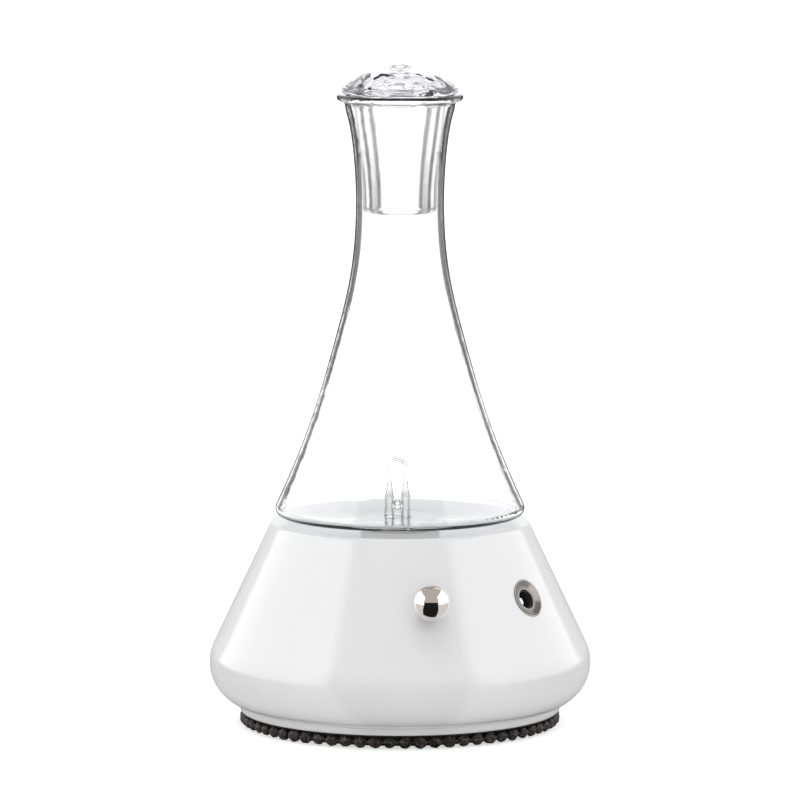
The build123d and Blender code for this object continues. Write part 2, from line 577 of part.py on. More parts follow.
# ------------------------------------------------------------------ crank housing and rod

head_screw_places = [(x, y) for x in (-9.2, 9.2) for y in (-10.2, 10.2)]
crank_cavity = (housing_size_x - 2 * HOUSING_WALL, 2 * (HOUSING_HALF_Y - HOUSING_WALL))

with BuildPart() as crank_housing:
    block(pump_plane, housing_size_x, 2 * HOUSING_HALF_Y, HOUSING_LOW_Z, HOUSING_TOP_Z, corner=2)
    block(pump_plane, *crank_cavity, HOUSING_LOW_Z + HOUSING_WALL, HOUSING_TOP_Z - HOUSING_WALL,
          mode=Mode.SUBTRACT)
    pegs(pump_plane, head_screw_places, 1.75, 20, HOUSING_TOP_Z - 1)
    pegs(pump_plane, head_screw_places, PILOT_SMALL_R, 23, HOUSING_TOP_Z, mode=Mode.SUBTRACT)
    disc(pump_plane, CHAMBER_R, HOUSING_TOP_Z - 3, HOUSING_TOP_Z, mode=Mode.SUBTRACT)
    disc(motor_plane, BEARING_R + LOOSE, HOUSING_X0, HOUSING_X0 + 3, mode=Mode.SUBTRACT)
    pegs(motor_plane, motor_screw_places, 1.35, HOUSING_X0, HOUSING_X0 + 3, mode=Mode.SUBTRACT)
crank_housing.part.label = "crank_housing"
export_step(crank_housing.part, "parts/crank_housing.step")

with BuildPart() as motor_screws:
    screws(motor_plane, motor_screw_places, SCREW_R, CAN_X1 - 2, HOUSING_X0 + HOUSING_WALL, 2.0, 1.4)
motor_screws.part.label = "motor_screws"
export_step(motor_screws.part, "parts/motor_screws.step")

with BuildPart() as rod_bush:
    disc(crank_plane, BUSH_R, ROD_X0, ROD_X1, bore=CRANK_PIN_R + RUNNING)
rod_bush.part.label = "rod_bush"
export_step(rod_bush.part, "parts/rod_bush.step")

rod_centre = Plane(origin=((ROD_X0 + ROD_X1) / 2, PUMP_Y, 0))

with BuildPart() as connecting_rod:
    disc(crank_plane, ROD_END_R, ROD_X0, ROD_X1)
    block(rod_centre, 2.4, 4.5, MOTOR_Z + THROW, DIAPHRAGM_BOSS_Z - 1)
    disc(rod_centre, 3, DIAPHRAGM_BOSS_Z - 1.3, DIAPHRAGM_BOSS_Z - 0.3)
    disc(crank_plane, BUSH_R + SEATED, ROD_X0, ROD_X1, mode=Mode.SUBTRACT)
connecting_rod.part.label = "connecting_rod"
export_step(connecting_rod.part, "parts/connecting_rod.step")

# ------------------------------------------------------------------ diaphragm, valves and head

port_places = [(-PORT_STEP, 0), (PORT_STEP, 0)]

with BuildPart() as diaphragm:
    disc(pump_plane, DIAPHRAGM_R, HOUSING_TOP_Z, HOUSING_TOP_Z + DIAPHRAGM_T)
    disc(pump_plane, 3.5, DIAPHRAGM_BOSS_Z, HOUSING_TOP_Z)
    disc(pump_plane, 5, HOUSING_TOP_Z + DIAPHRAGM_T, HOUSING_TOP_Z + DIAPHRAGM_T + 0.5)
diaphragm.part.label = "diaphragm"
export_step(diaphragm.part, "parts/diaphragm.step")

with BuildPart() as valve_plate:
    block(pump_plane, housing_size_x, 2 * HOUSING_HALF_Y, HOUSING_TOP_Z, VALVE_TOP_Z, corner=2)
    disc(pump_plane, DIAPHRAGM_R + LOOSE, HOUSING_TOP_Z, HOUSING_TOP_Z + DIAPHRAGM_T,
         mode=Mode.SUBTRACT)
    disc(pump_plane, CHAMBER_R, HOUSING_TOP_Z, CHAMBER_TOP_Z, mode=Mode.SUBTRACT)
    pegs(pump_plane, port_places, PORT_R, CHAMBER_TOP_Z, VALVE_TOP_Z, mode=Mode.SUBTRACT)
    pegs(pump_plane, head_screw_places, 1.1, HOUSING_TOP_Z, VALVE_TOP_Z, mode=Mode.SUBTRACT)
valve_plate.part.label = "valve_plate"
export_step(valve_plate.part, "parts/valve_plate.step")

with BuildPart() as valve_flaps:
    pegs(pump_plane, port_places, 3.0, VALVE_TOP_Z, VALVE_TOP_Z + 0.5)
valve_flaps.part.label = "valve_flaps"
export_step(valve_flaps.part, "parts/valve_flaps.step")

outlet_plane = Plane(origin=(0, PUMP_Y, OUTLET_Z), x_dir=(0, 1, 0), z_dir=(1, 0, 0))
inlet_plane = Plane(origin=(housing_mid_x + PORT_STEP, PUMP_Y, 0))

with BuildPart() as pump_head:
    block(pump_plane, housing_size_x, 2 * HOUSING_HALF_Y, VALVE_TOP_Z, HEAD_TOP_Z, corner=2)
    disc(inlet_plane, CUP_R, HEAD_TOP_Z, CUP_TOP_Z)
    disc(inlet_plane, CUP_R - 1, HEAD_TOP_Z, CUP_TOP_Z, mode=Mode.SUBTRACT)
    disc(inlet_plane, PORT_R, VALVE_TOP_Z, HEAD_TOP_Z, mode=Mode.SUBTRACT)
    disc(outlet_plane, BARB_R, BARB_X0, HOUSING_X0 + 1)
    pegs(pump_plane, port_places, 3.6, VALVE_TOP_Z, 39.2, mode=Mode.SUBTRACT)
    disc(outlet_plane, 1.1, BARB_X0, housing_mid_x - PORT_STEP, mode=Mode.SUBTRACT)
    pegs(pump_plane, head_screw_places, 1.1, VALVE_TOP_Z, HEAD_TOP_Z, mode=Mode.SUBTRACT)
pump_head.part.label = "pump_head"
export_step(pump_head.part, "parts/pump_head.step")

with BuildPart() as head_screws:
    screws(pump_plane, head_screw_places, SCREW_SMALL_R, 24, HEAD_TOP_Z, 1.9, 1.3)
head_screws.part.label = "head_screws"
export_step(head_screws.part, "parts/head_screws.step")

with BuildPart() as inlet_filter:
    disc(inlet_plane, CUP_R - 1 - LOOSE, HEAD_TOP_Z, CUP_TOP_Z + 0.6)
inlet_filter.part.label = "inlet_filter"
export_step(inlet_filter.part, "parts/inlet_filter.step")

# ------------------------------------------------------------------ pump cradle, pad and strap

cradle_plane = Plane(origin=((CRADLE_X0 + CRADLE_X1) / 2, PUMP_Y, 0))
strap_plane = Plane(origin=(STRAP_X, PUMP_Y, 0))
strap_r = CAN_R + SEATED

with BuildPart() as pump_cradle:
    block(cradle_plane, CRADLE_X1 - CRADLE_X0, 24, PLATE_TOP_Z, CRADLE_TOP_Z)
    block(strap_plane, STRAP_W, 2 * STRAP_SCREW_STEP + 6, PLATE_TOP_Z, CRADLE_TOP_Z)
    disc(motor_plane, CAN_R + PAD_T, CRADLE_X0, CRADLE_X1, mode=Mode.SUBTRACT)
    pegs(Plane.XY, strap_screw_places, 1.6, PLATE_TOP_Z, CRADLE_TOP_Z, mode=Mode.SUBTRACT)
pump_cradle.part.label = "pump_cradle"
export_step(pump_cradle.part, "parts/pump_cradle.step")

with BuildPart() as pump_pad:
    disc(motor_plane, CAN_R + PAD_T - SEATED, CRADLE_X0, CRADLE_X1, bore=CAN_R + SEATED)
    block(cradle_plane, 2 * CAN_R + 20, 40, CRADLE_TOP_Z - 0.3, 40, mode=Mode.SUBTRACT)
pump_pad.part.label = "pump_pad"
export_step(pump_pad.part, "parts/pump_pad.step")

with BuildPart() as pump_strap:
    with BuildSketch(motor_plane.offset(STRAP_X - STRAP_W / 2)):
        leg_drop = CRADLE_TOP_Z - MOTOR_Z
        foot_end = STRAP_SCREW_STEP + 3
        with BuildLine():
            leg_r = strap_r + STRAP_T / 2
            ThreePointArc((-leg_r, 0), (0, leg_r), (leg_r, 0))
            for side in (-1, 1):
                Polyline(
                    (side * leg_r, 0), (side * leg_r, leg_drop + STRAP_T / 2),
                    (side * foot_end, leg_drop + STRAP_T / 2),
                )
        trace(line_width=STRAP_T)
    extrude(amount=STRAP_W)
    pegs(Plane.XY, strap_screw_places, 1.6, CRADLE_TOP_Z - 1, 14, mode=Mode.SUBTRACT)
pump_strap.part.label = "pump_strap"
export_step(pump_strap.part, "parts/pump_strap.step")

with BuildPart() as strap_screws:
    screws(Plane.XY, strap_screw_places, SCREW_R, 2.4, CRADLE_TOP_Z + STRAP_T, 2.6, 1.8)
strap_screws.part.label = "strap_screws"
export_step(strap_screws.part, "parts/strap_screws.step")

# ------------------------------------------------------------------ air hose

with BuildPart() as air_hose:
    with BuildLine() as hose_path:
        pump_end = Line((HOUSING_X0 - 0.3, PUMP_Y, OUTLET_Z), (BARB_X0 - 0.5, PUMP_Y, OUTLET_Z))
        socket_end = Line((0, 0, BARB_LOW_Z - 0.5), (0, 0, SOCKET_TIP_Z - 0.5))
        Spline(
            pump_end @ 1, (-17, 10, 37.5), (-10.5, -2.5, 34.8), socket_end @ 0,
            tangents=(pump_end % 1, socket_end % 0),
        )
    hose_start = Plane(origin=hose_path.line @ 0, z_dir=hose_path.line % 0)
    with BuildSketch(hose_start) as hose_section:
        Circle(HOSE_R)
        Circle(HOSE_BORE_R, mode=Mode.SUBTRACT)
    sweep(hose_section.sketch, path=hose_path.line)
air_hose.part.label = "air_hose"
export_step(air_hose.part, "parts/air_hose.step")

with BuildPart() as hose_clips:
    disc(outlet_plane, HOSE_R + 0.6, -5.2, -3.2, bore=HOSE_R + SEATED)
    disc(Plane.XY, HOSE_R + 0.6, 43, 45, bore=HOSE_R + SEATED)
hose_clips.part.label = "hose_clips"
export_step(hose_clips.part, "parts/hose_clips.step")

# ------------------------------------------------------------------ control board

board_top = BOARD_Z + BOARD_T
board_plane = Plane(origin=(0, (BOARD_Y0 + BOARD_Y1) / 2, 0))
connector_top = board_top + CONNECTOR_H
motor_plug, power_plug, control_plug = (-11.0, -13.5), (11.0, -13.5), (0.0, -30.5)

with BuildPart() as control_board:
    block(board_plane, 2 * BOARD_HALF_X, BOARD_Y1 - BOARD_Y0, BOARD_Z, board_top, corner=1.5)
    pegs(Plane.XY, board_screw_places, 1.1, BOARD_Z, board_top, mode=Mode.SUBTRACT)
control_board.part.label = "control_board"
export_step(control_board.part, "parts/control_board.step")

with BuildPart() as board_screws:
    screws(Plane.XY, board_screw_places, SCREW_SMALL_R, 5.6, board_top, 1.9, 1.2)
board_screws.part.label = "board_screws"
export_step(board_screws.part, "parts/board_screws.step")

with BuildPart() as board_connectors:
    for plug in (motor_plug, power_plug, control_plug):
        block(Plane.XY, 8, 5, board_top, connector_top, centre=plug, corner=0.5)
board_connectors.part.label = "board_connectors"
export_step(board_connectors.part, "parts/board_connectors.step")

with BuildPart() as driver_chip:
    block(Plane.XY, 6, 5, board_top, board_top + 1.6, centre=(6, -21.5))
driver_chip.part.label = "driver_chip"
export_step(driver_chip.part, "parts/driver_chip.step")

with BuildPart() as board_capacitor:
    pegs(Plane.XY, [(-7, -22)], 3.15, board_top, board_top + 8)
    fillet(board_capacitor.edges().group_by(Axis.Z)[-1], 0.5)
board_capacitor.part.label = "board_capacitor"
export_step(board_capacitor.part, "parts/board_capacitor.step")

# ------------------------------------------------------------------ ball knob and potentiometer

pot_front = BRACKET_FACE - BRACKET_T

with BuildPart() as ball_knob:
    with Locations(knob_plane.offset(BALL_CENTRE)):
        Sphere(BALL_R)
    block(knob_plane, 20, 20, -10, BALL_BACK, mode=Mode.SUBTRACT)
    with BuildSketch(knob_plane.offset(BALL_BACK)) as d_hole:
        Circle(POT_SHAFT_R + SEATED)
        with Locations((0, SHAFT_FLAT + SEATED + 5)):
            Rectangle(10, 10, mode=Mode.SUBTRACT)
    extrude(d_hole.sketch, amount=SHAFT_OUT - BALL_BACK + 0.3, mode=Mode.SUBTRACT)
ball_knob.part.label = "ball_knob"
export_step(ball_knob.part, "parts/ball_knob.step")

with BuildPart() as pot_shaft:
    disc(knob_plane, POT_SHAFT_R, SHAFT_IN, SHAFT_OUT)
    block(knob_plane, 10, 10, BALL_BACK - 4, SHAFT_OUT, centre=(0, SHAFT_FLAT + 5),
          mode=Mode.SUBTRACT)
pot_shaft.part.label = "pot_shaft"
export_step(pot_shaft.part, "parts/pot_shaft.step")

with BuildPart() as pot_wiper:
    disc(knob_plane, 4, SHAFT_IN - 0.7, SHAFT_IN)
    block(knob_plane, 2.4, 6.4, SHAFT_IN - 0.7, SHAFT_IN, centre=(0, 3.2))
pot_wiper.part.label = "pot_wiper"
export_step(pot_wiper.part, "parts/pot_wiper.step")

with BuildPart() as pot_body:
    disc(knob_plane, POT_R, POT_BACK, pot_front)
    disc(knob_plane, POT_R - 1, POT_BACK + 1, pot_front - 1, mode=Mode.SUBTRACT)
    disc(knob_plane, BUSHING_R, pot_front - 1.5, -5.2)
    disc(knob_plane, POT_SHAFT_R + RUNNING, pot_front - 2, -5, mode=Mode.SUBTRACT)
pot_body.part.label = "pot_body"
export_step(pot_body.part, "parts/pot_body.step")

with BuildPart() as pot_track:
    disc(knob_plane, 7, POT_BACK + 1, POT_BACK + 1.6, bore=4.5)
    block(knob_plane, 2.6, 10, POT_BACK + 0.5, POT_BACK + 2, centre=(0, -5), mode=Mode.SUBTRACT)
pot_track.part.label = "pot_track"
export_step(pot_track.part, "parts/pot_track.step")

with BuildPart() as pot_nut:
    with BuildSketch(knob_plane.offset(BRACKET_FACE)):
        RegularPolygon(5.8, 6)
        Circle(BUSHING_R + SEATED, mode=Mode.SUBTRACT)
    extrude(amount=1.8)
pot_nut.part.label = "pot_nut"
export_step(pot_nut.part, "parts/pot_nut.step")

# Bent steel strip: the tilted plate holds the potentiometer, the foot stands on the mounting ring
plate_mid = knob_plane.from_local_coords(Vector(0, 0, BRACKET_FACE - BRACKET_T / 2))
plate_up = knob_plane.y_dir * 10
foot_mid_z = RING_TOP_Z + BRACKET_T / 2

with BuildPart() as knob_bracket:
    with BuildSketch(Plane.YZ):
        with BuildLine():
            plate_top, plate_foot = plate_mid + plate_up, plate_mid - plate_up
            Polyline(
                (plate_top.Y, plate_top.Z), (plate_foot.Y, plate_foot.Z),
                (-47.7, foot_mid_z), (-42.9, foot_mid_z),
            )
        trace(line_width=BRACKET_T)
    extrude(amount=9, both=True)
    disc(knob_plane, BUSHING_R + LOOSE, -12, -6, mode=Mode.SUBTRACT)
    pegs(Plane.XY, bracket_screw_places, 1.1, RING_TOP_Z - 1, 14, mode=Mode.SUBTRACT)
knob_bracket.part.label = "knob_bracket"
export_step(knob_bracket.part, "parts/knob_bracket.step")

with BuildPart() as bracket_screws:
    screws(Plane.XY, bracket_screw_places, SCREW_SMALL_R, 6.5, RING_TOP_Z + BRACKET_T, 1.9, 1.2)
bracket_screws.part.label = "bracket_screws"
export_step(bracket_screws.part, "parts/bracket_screws.step")

# ------------------------------------------------------------------ power jack

with BuildPart() as jack_bezel:
    disc(jack_plane, BEZEL_R, -BEZEL_T, 0, bore=BARREL_R + SEATED)
    with BuildSketch(jack_plane.offset(-0.9)) as dish_low:
        Circle(BARREL_R + 0.25)
    with BuildSketch(jack_plane) as dish_high:
        Circle(BEZEL_R - 0.35)
    loft([dish_low.sketch.face(), dish_high.sketch.face()], mode=Mode.SUBTRACT)
jack_bezel.part.label = "jack_bezel"
export_step(jack_bezel.part, "parts/jack_bezel.step")

with BuildPart() as jack_sleeve:
    disc(jack_plane, BARREL_R, BARREL_IN, BARREL_OUT, bore=BARREL_BORE_R)
    mouth_edges = jack_sleeve.edges().filter_by(GeomType.CIRCLE).sort_by(Axis(jack_plane.origin,
                                                                           jack_plane.z_dir))[-2:]
    fillet(mouth_edges, 0.4)
jack_sleeve.part.label = "jack_sleeve"
export_step(jack_sleeve.part, "parts/jack_sleeve.step")

with BuildPart() as jack_body:
    disc(jack_plane, JACK_BODY_R, JACK_BODY_BACK, JACK_BODY_FRONT)
    disc(jack_plane, BARREL_R + SEATED, BARREL_IN, JACK_BODY_FRONT, mode=Mode.SUBTRACT)
    disc(jack_plane, BARREL_BORE_R - SEATED, BARREL_IN, LINER_OUT, bore=LINER_BORE_R)
    disc(jack_plane, PIN_R + 0.4 + SEATED, JACK_BODY_BACK, BARREL_IN, mode=Mode.SUBTRACT)
jack_body.part.label = "jack_body"
export_step(jack_body.part, "parts/jack_body.step")

with BuildPart() as jack_pin:
    disc(jack_plane, PIN_R + 0.4, JACK_BODY_BACK - 0.5, BARREL_IN)
    disc(jack_plane, PIN_R, BARREL_IN, PIN_TIP)
jack_pin.part.label = "jack_pin"
export_step(jack_pin.part, "parts/jack_pin.step")

with BuildPart() as jack_nut:
    with BuildSketch(jack_plane.offset(-6.6)):
        RegularPolygon(6.6, 6)
        Circle(BARREL_R + SEATED, mode=Mode.SUBTRACT)
    extrude(amount=1.6)
jack_nut.part.label = "jack_nut"
export_step(jack_nut.part, "parts/jack_nut.step")

with BuildPart() as jack_contacts:
    for side in (-1, 1):
        block(jack_plane, 0.6, 2.6, JACK_BODY_BACK - TAB_LENGTH, JACK_BODY_BACK,
              centre=(side * TAB_STEP, 0))
jack_contacts.part.label = "jack_contacts"
export_step(jack_contacts.part, "parts/jack_contacts.step")

# ------------------------------------------------------------------ wires

with BuildPart() as power_leads:
    for side in (-1, 1):
        tab_end_z = JACK_BODY_BACK - TAB_LENGTH
        tab_end = jack_plane.from_local_coords(Vector(side * TAB_STEP, 0, tab_end_z))
        slack = jack_plane.from_local_coords(Vector(side * 2.5, -4, tab_end_z - 4.5))
        plug_x, plug_y = power_plug
        wire([tab_end, slack, (plug_x + side * 1.5, plug_y, connector_top)], -jack_plane.z_dir)
power_leads.part.label = "power_leads"
export_step(power_leads.part, "parts/power_leads.step")

with BuildPart() as board_leads:
    # Motor leads run round the open end of the motor
    for side in (-1, 1):
        plug_x, plug_y = motor_plug
        wire([
            (CAN_X0 - 2.5, PUMP_Y + side * BRUSH_STEP, MOTOR_Z),
            (CAN_X0 - 4.5, PUMP_Y - 11 + side * 3, MOTOR_Z + 2),
            (plug_x - 8 + side * 1.5, plug_y + 6, connector_top + 8),
            (plug_x + side * 1.5, plug_y, connector_top),
        ], (-1, 0, 0))
    # Three leads drop from the back of the potentiometer
    for step in (-1, 0, 1):
        plug_x, plug_y = control_plug
        pot_end = knob_plane.from_local_coords(Vector(step * 2.5, -3, POT_BACK))
        wire([pot_end, pot_end + Vector(0, 3, -5), (plug_x + step * 2.5, plug_y, connector_top)],
             -knob_plane.z_dir)
board_leads.part.label = "board_leads"
export_step(board_leads.part, "parts/board_leads.step")
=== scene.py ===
import json
from math import cos, radians, sin, tau

import bmesh
import bpy
from mathutils import Matrix, Vector, noise


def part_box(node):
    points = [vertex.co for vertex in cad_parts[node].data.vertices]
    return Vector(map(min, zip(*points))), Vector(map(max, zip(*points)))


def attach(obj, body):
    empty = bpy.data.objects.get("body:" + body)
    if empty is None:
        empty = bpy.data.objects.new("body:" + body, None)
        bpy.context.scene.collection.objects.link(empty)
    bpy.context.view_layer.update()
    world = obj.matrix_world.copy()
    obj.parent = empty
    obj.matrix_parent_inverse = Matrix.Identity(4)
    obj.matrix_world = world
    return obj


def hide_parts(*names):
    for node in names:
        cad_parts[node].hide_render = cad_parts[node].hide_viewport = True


# Essential oil diffuser: materials for the CAD pieces, natural stones for the bead skirt, and a
# white studio that turns with the camera. Blender units are metres; MM turns millimetres into them.

MM = 0.001

# Heights above the table at rest where a finish changes, in millimetres
BARE_FOOT_END, GLAZE_START = 5.0, 5.3
OUTLINE_WIDENS, OUTLINE_WIDEST = 110, 160
SLEEVE_END, DOME_START = 208, 211
DOME_END, NUB_START = 215.5, 217.5

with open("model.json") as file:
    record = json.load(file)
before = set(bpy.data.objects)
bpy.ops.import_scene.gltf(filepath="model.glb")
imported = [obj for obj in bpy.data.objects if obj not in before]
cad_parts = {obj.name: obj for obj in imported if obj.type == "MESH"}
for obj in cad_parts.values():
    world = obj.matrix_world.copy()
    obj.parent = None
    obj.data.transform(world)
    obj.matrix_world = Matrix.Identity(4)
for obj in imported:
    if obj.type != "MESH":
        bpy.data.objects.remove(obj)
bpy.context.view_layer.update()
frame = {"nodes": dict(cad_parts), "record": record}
nodes = frame["nodes"]


# ------------------------------------------------------------------ node materials


class Nodes:
    """Short ways to build one shader node tree."""

    def __init__(self, tree):
        self.tree = tree

    def add(self, kind, inputs=None, **settings):
        """New shader node. A dict of inputs is fed, and settings are the node's own properties."""
        made = self.tree.nodes.new("ShaderNode" + kind)
        for name, value in settings.items():
            setattr(made, name, value)
        for name, value in (inputs or {}).items():
            self.feed(made.inputs[name], value)
        return made

    def feed(self, socket, value):
        """Link a socket from another node, or give it a plain value."""
        if isinstance(value, bpy.types.NodeSocket):
            self.tree.links.new(value, socket)
        elif socket.type == "RGBA":
            socket.default_value = (*value[:3], 1)
        else:
            socket.default_value = value

    def mix(self, value, first, second):
        """Colour between two colours."""
        made = self.add("Mix", {0: value}, data_type="RGBA")
        self.feed(made.inputs[6], first)
        self.feed(made.inputs[7], second)
        return made.outputs[2]

    def math(self, operation, first, second=0.0):
        """Number worked out from one or two numbers."""
        made = self.add("Math", operation=operation)
        self.feed(made.inputs[0], first)
        self.feed(made.inputs[1], second)
        return made.outputs[0]

    def by_ray(self, lighting, mirrored, through_glass, seen):
        """Colour that depends on how a ray comes: as light on a surface, by way of a mirror,
        through glass, or straight from the camera."""
        rays = self.add("LightPath").outputs
        colour = self.mix(rays["Is Glossy Ray"], lighting, mirrored)
        colour = self.mix(rays["Is Transmission Ray"], colour, through_glass)
        return self.mix(rays["Is Camera Ray"], colour, seen)


class Shader(Nodes):
    """A node material built round one Principled BSDF, with its textures in object space."""

    def __init__(self, name, **values):
        self.material = bpy.data.materials.new(name)
        self.material.use_nodes = True
        super().__init__(self.material.node_tree)
        self.surface = self.tree.nodes["Principled BSDF"]
        self.place = self.add("TexCoord").outputs["Object"]
        self.set(**values)

    def set(self, **values):
        """Set inputs of the surface; words in a name are joined by underscores."""
        for name, value in values.items():
            title = name.replace("_", " ").title().replace("Ior", "IOR")
            self.feed(self.surface.inputs[title], value)

    def noise(self, size_mm, detail=4.0, rough=0.55, where=None, distortion=0.0):
        """Cloudy pattern from 0 to 1 whose features are about size_mm across."""
        return self.add("TexNoise", {
            "Vector": where or self.place, "Scale": 1 / (size_mm * MM), "Detail": detail,
            "Roughness": rough, "Distortion": distortion,
        }).outputs["Fac"]

    def cells(self, size_mm, feature="F1", where=None):
        """Cell pattern with cells about size_mm across."""
        return self.add("TexVoronoi", {
            "Vector": where or self.place, "Scale": 1 / (size_mm * MM),
        }, feature=feature).outputs["Distance"]

    def ramp(self, value, *stops):
        """Colour from a value; each stop is a place and a colour or a grey."""
        made = self.add("ValToRGB", {"Fac": value})
        while len(made.color_ramp.elements) < len(stops):
            made.color_ramp.elements.new(0.5)
        for element, (place, colour) in zip(made.color_ramp.elements, stops):
            element.position = place
            is_grey = isinstance(colour, (int, float))
            element.color = (colour, colour, colour, 1) if is_grey else (*colour, 1)
        return made.outputs["Color"]

    def scaled(self, x, y, z):
        """Object coordinates stretched by a factor on each axis."""
        return self.add("Mapping", {"Vector": self.place, "Scale": (x, y, z)}).outputs[0]

    def by_height(self, full_scale, *stops):
        """Grey from the height above the table, up to a full scale; each stop is a height and a
        grey. All heights are in millimetres."""
        height = self.add("SeparateXYZ", {"Vector": self.place}).outputs["Z"]
        share = self.math("DIVIDE", self.math("DIVIDE", height, MM), full_scale)
        return self.ramp(share, *[(stop / full_scale, value) for stop, value in stops])

    def facing(self):
        """Grey that is 0 where the surface faces the eye and 1 where it is seen on edge."""
        return self.add("LayerWeight", {"Blend": 0.5}).outputs["Facing"]

    def clear(self, tint):
        """Shader that lets light straight through, tinted."""
        return self.add("BsdfTransparent", {"Color": tint}).outputs[0]

    def cover(self, where, shader):
        """Let another shader take over the surface where a mask is 1."""
        out = self.tree.nodes["Material Output"].inputs["Surface"]
        both = self.add("MixShader", {0: where, 1: out.links[0].from_socket, 2: shader})
        self.feed(out, both.outputs[0])

    def bump(self, pattern, depth_mm, strength=1.0):
        """Raise the surface by a pattern; a second call adds to the first."""
        normal = self.surface.inputs["Normal"]
        inputs = {"Height": pattern, "Distance": depth_mm * MM, "Strength": strength}
        if normal.is_linked:
            inputs["Normal"] = normal.links[0].from_socket
        self.feed(normal, self.add("Bump", inputs).outputs["Normal"])


def clear_glass(name, slanted_tint, level_shade_and_tint, painted_outline):
    """Borosilicate glass: slow waves from the flame, a tint where the wall is seen aslant, another
    where it lies level, and a dark line of painted shade round its silhouette, wider on the neck."""
    glass = Shader(name, roughness=0.0, ior=1.47, transmission_weight=1.0)
    facing = glass.facing()
    normal = glass.add("NewGeometry").outputs["Normal"]
    upward = glass.math("ABSOLUTE", glass.add("SeparateXYZ", {"Vector": normal}).outputs["Z"])
    level = glass.ramp(upward, (0.50, 0.0), (0.70, 1.0))
    slanted = glass.ramp(facing, (0.16, 0.0), (0.26, 1.0))
    streaks = glass.noise(9, detail=2, where=glass.scaled(1, 1, 0.15))
    tint = glass.mix(streaks, (0.99, 0.995, 0.995), (1, 1, 1))
    tint = glass.mix(slanted, tint, slanted_tint)
    # Where the wall lies level the given tint is laid on: on the flask's floor it is painted shade
    glass.set(base_color=glass.mix(level, tint, level_shade_and_tint))
    glass.bump(glass.noise(70, detail=1, where=glass.scaled(1, 1, 0.4)), 0.10, 0.07)
    # Painted shade: a dark line is drawn where an upright wall turns from the eye, in place of the
    # dark surroundings that such an edge shows
    swell = glass.by_height(200.0, (OUTLINE_WIDENS, 0.0), (OUTLINE_WIDEST, 0.16))
    edge = glass.ramp(glass.math("ADD", facing, swell), (0.83, 0.0), (0.91, 1.0))
    edge = glass.math("MULTIPLY", edge, glass.math("SUBTRACT", 1.0, level))
    glass.cover(edge, glass.clear(painted_outline))
    # Light falls through the glass nearly unhindered on its way to the pieces behind it
    rays = glass.add("LightPath").outputs
    lit = glass.math("MAXIMUM", rays["Is Shadow Ray"], rays["Is Diffuse Ray"])
    glass.cover(lit, glass.clear((0.92, 0.925, 0.925)))
    return glass


def flask_glass():
    """Thin colourless glass, greyed by painted shade where it lies level, as in the floor."""
    # The level grey is painted shade, and the darkest grey is the painted line round the glass
    return clear_glass("clear_glass", (1, 1, 1), (0.68, 0.68, 0.71), (0.26, 0.26, 0.28)).material


def stopper_glass():
    """Thicker glass with a lilac cast: a sleeve that blurs a little, under an uneven dome."""
    lilac = (0.92, 0.91, 0.945)
    # Its last grey is the pale painted shade drawn round the stopper's silhouette
    glass = clear_glass("stopper_glass", lilac, lilac, (0.70, 0.69, 0.72))
    above_sleeve = glass.by_height(250.0, (SLEEVE_END, 0.0), (DOME_START, 1.0))
    dome = glass.by_height(
        250.0, (SLEEVE_END, 0.0), (DOME_START, 1.0), (DOME_END, 1.0), (NUB_START, 0.0))
    glass.set(roughness=glass.ramp(above_sleeve, (0.0, 0.13), (1.0, 0.0)))
    lumps = glass.math("SUBTRACT", glass.noise(14, detail=1.5, distortion=0.6), 0.5)
    glass.bump(glass.math("MULTIPLY", lumps, dome), 4.0, 0.8)
    return glass.material


def white_ceramic():
    """White gloss glaze over a slightly uneven body, greyed and dulled by painted shade where it
    turns from the eye, bare and matt under the foot."""
    glaze = Shader("white_ceramic", roughness=0.16, coat_weight=1.0, coat_roughness=0.17, ior=1.5)
    cloud = glaze.noise(30, detail=5)
    colour = glaze.mix(cloud, (0.87, 0.87, 0.88), (0.90, 0.90, 0.905))
    between_specks = glaze.ramp(glaze.cells(2.4), (0.0, 0.0), (0.035, 0.0), (0.05, 1.0))
    specks = glaze.math("SUBTRACT", 1.0, between_specks)
    colour = glaze.mix(glaze.math("MULTIPLY", specks, 0.10), colour, (0.55, 0.52, 0.48))
    bare = glaze.by_height(10.0, (BARE_FOOT_END, 1.0), (GLAZE_START, 0.0))
    colour = glaze.mix(bare, colour, (0.80, 0.78, 0.74))
    # Painted shade: grey laid on, and gloss taken off, where the surface turns from the eye
    painted_edge_shade = glaze.ramp(glaze.facing(), (0.72, 0.0), (0.95, 1.0))
    glaze.set(base_color=glaze.mix(painted_edge_shade, colour, (0.62, 0.62, 0.64)))
    dull = glaze.math("MAXIMUM", bare, glaze.math("MULTIPLY", painted_edge_shade, 0.8))
    gloss = glaze.math("SUBTRACT", 1.0, dull)
    glaze.set(coat_weight=gloss, specular_ior_level=glaze.math("MULTIPLY", gloss, 0.5))
    glaze.bump(glaze.noise(11, detail=2), 0.035, 0.35)
    glaze.bump(glaze.noise(1.6, detail=2), 0.004, 0.3)
    return glaze.material


def chrome():
    """Mirror chrome with hair-fine handling marks."""
    metal = Shader("chrome", metallic=1.0)
    marks = metal.noise(2.2, detail=8, rough=0.8)
    metal.set(base_color=metal.mix(marks, (0.82, 0.785, 0.75), (0.90, 0.865, 0.83)))
    metal.set(roughness=metal.math("MULTIPLY", marks, 0.09))
    metal.bump(metal.noise(5, detail=3), 0.006, 0.2)
    return metal.material


def satin_nickel():
    """Nickel plate with a satin grain, duller than the chrome, and darker through painted shade."""
    metal = Shader("satin_nickel", metallic=1.0)
    grain = metal.noise(0.8, detail=6, rough=0.7)
    # Painted shade: the colour is set far darker than bare metal, so that what it mirrors comes out
    # dim
    metal.set(base_color=metal.mix(grain, (0.24, 0.225, 0.21), (0.34, 0.32, 0.30)))
    metal.set(roughness=metal.ramp(grain, (0.2, 0.12), (0.8, 0.26)))
    metal.bump(grain, 0.01, 0.3)
    return metal.material


